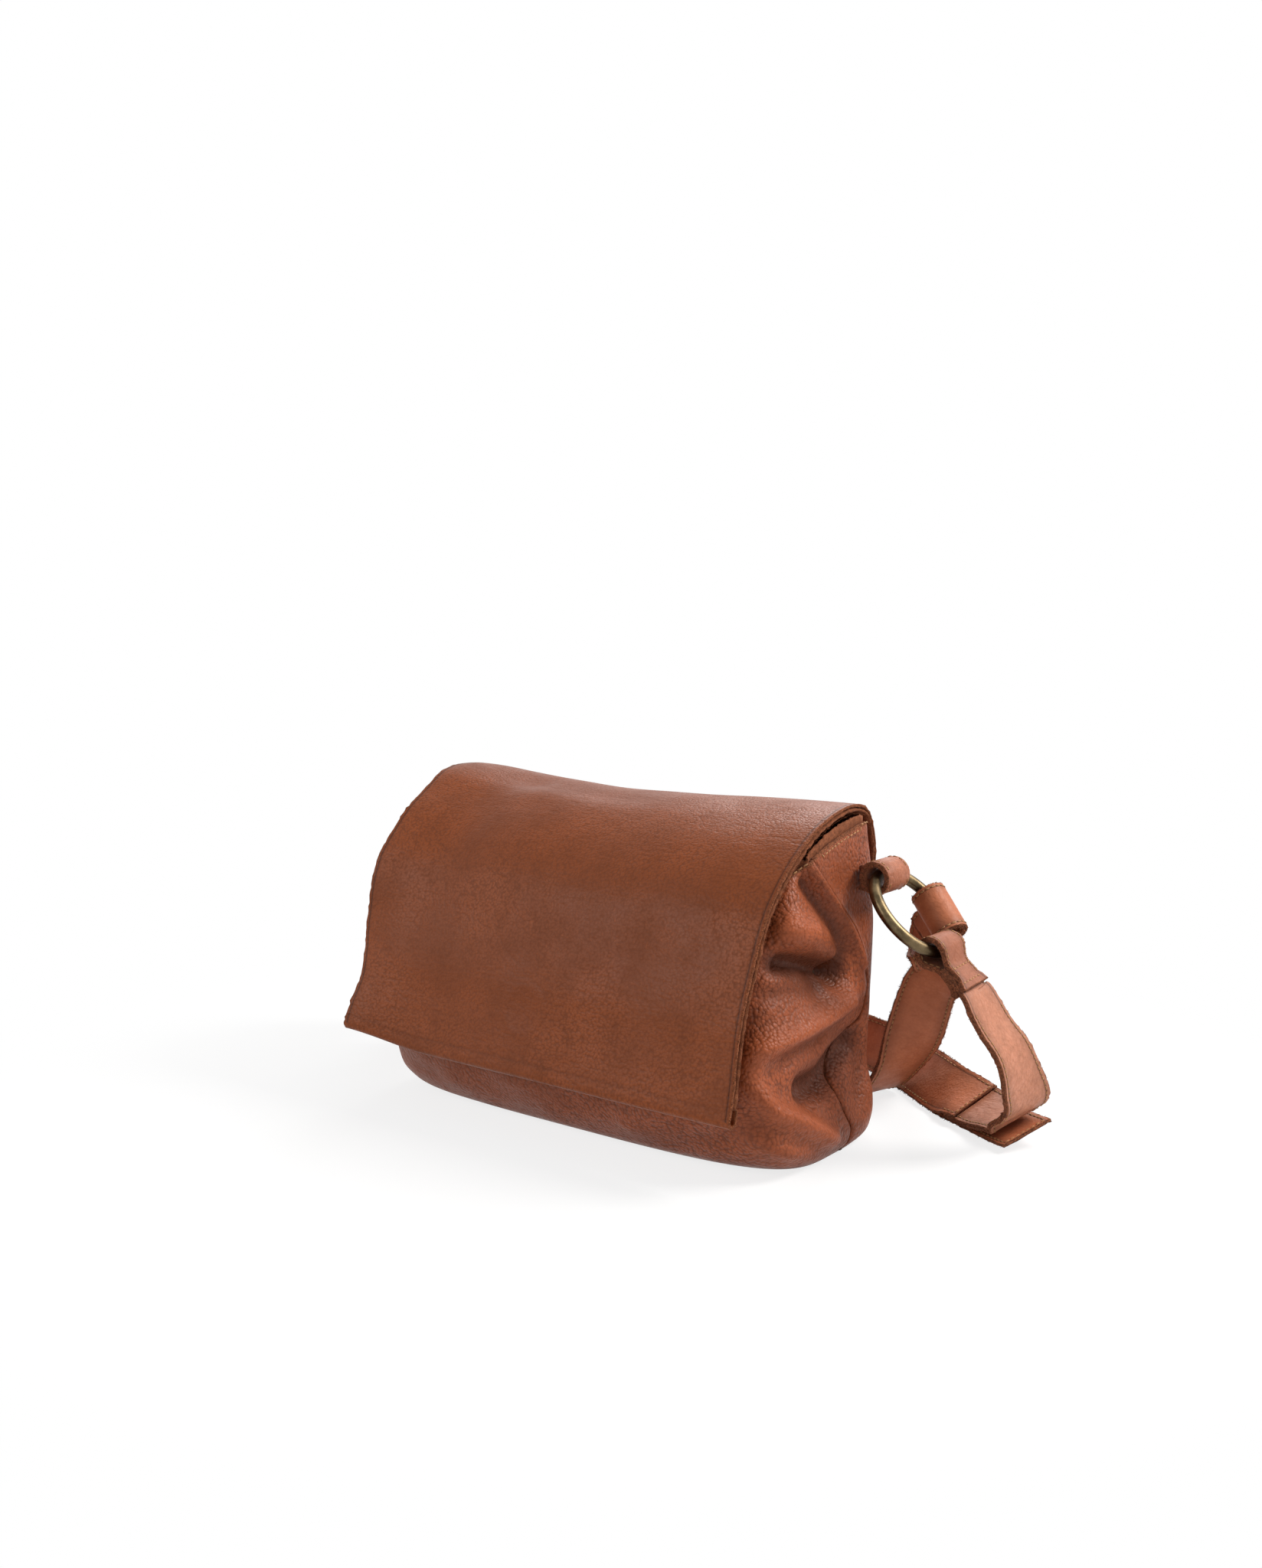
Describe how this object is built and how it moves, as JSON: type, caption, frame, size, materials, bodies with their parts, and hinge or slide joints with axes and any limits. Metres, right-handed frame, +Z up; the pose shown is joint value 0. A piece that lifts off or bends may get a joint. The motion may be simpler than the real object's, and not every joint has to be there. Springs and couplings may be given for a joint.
{
  "type": "flap shoulder bag",
  "caption": "Soft leather shoulder bag with a full front flap on a magnetic snap, sewn end loops with brass rings, and one long doubled strap lying behind it.",
  "frame": {"origin": "middle of the base, on the surface that the bag stands on", "axes": "+X along the bag to the right when seen from the front, -Y out of the front, +Z up"},
  "size_m": [0.4766, 0.2649, 0.1978],
  "materials": {
    "body_leather": "soft pebbled cognac leather",
    "flap_leather": "smooth mottled cognac leather, waxed",
    "strap_leather": "smooth leather with raw cut edges",
    "suede": "raw flesh side of the same leather",
    "lining_cloth": "plain cotton",
    "antique_brass": "antiqued and lacquered"
  },
  "bodies": {
    "bag": {"body_front": "body_leather", "body_back": "body_leather", "mouth_facing_front": "suede", "mouth_facing_back": "suede", "lining": "lining_cloth", "slip_pocket": "suede", "flap_rear_outer": "flap_leather", "flap_rear_lining": "suede", "snap_stud_body": "antique_brass", "snap_washer_body": "antique_brass", "anchor_foot_right": "strap_leather", "anchor_foot_left": "strap_leather"},
    "flap": {"flap_outer": "flap_leather", "flap_lining": "suede", "snap_socket_flap": "antique_brass", "snap_washer_flap": "antique_brass"},
    "strap": {"anchor_loop_right": "strap_leather", "anchor_loop_left": "strap_leather", "strap_long": "strap_leather", "strap_tab": "strap_leather", "strap_short": "strap_leather"},
    "ring_right": {"ring_right": "antique_brass"},
    "ring_left": {"ring_left": "antique_brass"}
  },
  "joints": [
    {"name": "flap_hinge", "type": "hinge", "parent": "bag", "child": "flap", "pos_m": [0, 0.051, 0.1968], "axis": [-1, 0, 0], "range_deg": [0, 180]},
    {"name": "strap_lift", "type": "hinge", "parent": "bag", "child": "strap", "pos_m": [0, 0.041, 0.159], "axis": [1, 0, 0], "range_deg": [0, 156]},
    {"name": "ring_right_turn", "type": "hinge", "parent": "strap", "child": "ring_right", "pos_m": [0.17661, 0.041, 0.13982], "axis": [0.7193, 0, 0.6947], "continuous": true},
    {"name": "ring_left_turn", "type": "hinge", "parent": "strap", "child": "ring_left", "pos_m": [-0.17661, 0.041, 0.13982], "axis": [-0.7193, 0, 0.6947], "continuous": true}
  ]
}
